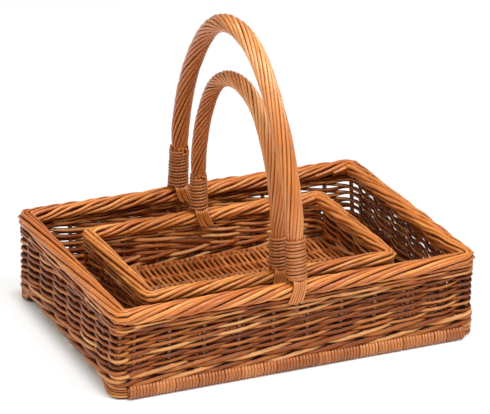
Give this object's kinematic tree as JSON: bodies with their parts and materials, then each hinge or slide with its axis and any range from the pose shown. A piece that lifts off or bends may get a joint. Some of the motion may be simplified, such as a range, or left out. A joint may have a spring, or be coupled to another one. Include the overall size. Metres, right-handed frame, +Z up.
{
  "type": "trug garden basket",
  "caption": "Nest of oblong woven willow trugs for the garden, the small one standing in the large one, each with lapped feet, a plaited rim and a tall roped handle bound to its long sides.",
  "frame": {"origin": "on the ground, under the middle of the large trug", "axes": "+X along the long sides, +Y towards the back long side, +Z up"},
  "size_m": [0.4828, 0.3734, 0.3975],
  "materials": {
    "siding_willow": "peeled steamed willow rods, satin, red-brown with darker and greyer rods mixed in",
    "border_willow": "peeled steamed willow rods, satin, the palest and most golden of the trug",
    "floor_willow": "peeled steamed willow rods, satin, red-brown",
    "handle_willow": "long peeled willow rods roped side by side, satin",
    "binding_willow": "fine peeled willow rod wound tightly, satin",
    "hidden_willow": "thick willow sticks, dull where they are covered"
  },
  "bodies": {
    "large_trug": {"large_front_foot": "hidden_willow", "large_back_foot": "hidden_willow", "large_front_lapping": "binding_willow", "large_back_lapping": "binding_willow", "large_base_sticks": "hidden_willow", "large_base_weave": "floor_willow", "large_stakes": "hidden_willow", "large_upsett": "siding_willow", "large_siding": "siding_willow", "large_top_wale": "siding_willow", "large_border": "border_willow", "large_handle_bow": "hidden_willow", "large_handle_roping": "handle_willow", "large_front_binding": "binding_willow", "large_back_binding": "binding_willow", "large_front_tails": "handle_willow", "large_back_tails": "handle_willow"},
    "small_trug": {"small_front_foot": "hidden_willow", "small_back_foot": "hidden_willow", "small_front_lapping": "binding_willow", "small_back_lapping": "binding_willow", "small_base_sticks": "hidden_willow", "small_base_weave": "floor_willow", "small_stakes": "hidden_willow", "small_upsett": "siding_willow", "small_siding": "siding_willow", "small_top_wale": "siding_willow", "small_border": "border_willow", "small_handle_bow": "hidden_willow", "small_handle_roping": "handle_willow", "small_front_binding": "binding_willow", "small_back_binding": "binding_willow", "small_front_tails": "handle_willow", "small_back_tails": "handle_willow"}
  },
  "joints": [
    {"name": "small_trug_lift", "type": "slide", "parent": "large_trug", "child": "small_trug", "axis": [0.5, 0, 0.866], "range_m": [0, 0.18]}
  ]
}
